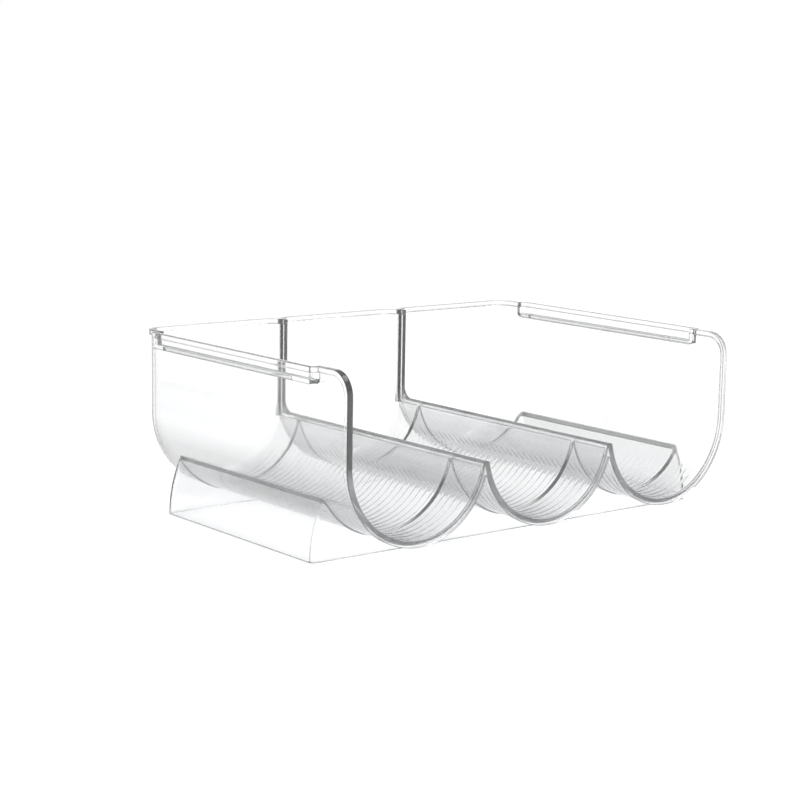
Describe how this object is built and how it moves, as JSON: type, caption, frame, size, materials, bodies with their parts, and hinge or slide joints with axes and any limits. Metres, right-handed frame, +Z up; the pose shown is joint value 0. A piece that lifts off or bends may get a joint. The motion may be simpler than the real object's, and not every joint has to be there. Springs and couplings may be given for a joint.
{
  "type": "bottle rack",
  "caption": "Clear one-piece moulded rack that holds laid bottles in side-by-side half-round channels, open in front, with ledges on its side walls so that racks stack.",
  "frame": {"origin": "on the floor, under the middle of the rack's bounding box", "axes": "+X across the channels to the right, +Y from the open front to the back wall, +Z up"},
  "size_m": [0.29, 0.203, 0.1055],
  "materials": {
    "clear_plastic": "water-clear glossy moulded plastic"
  },
  "bodies": {
    "root": {"rack": "clear_plastic"}
  },
  "joints": []
}
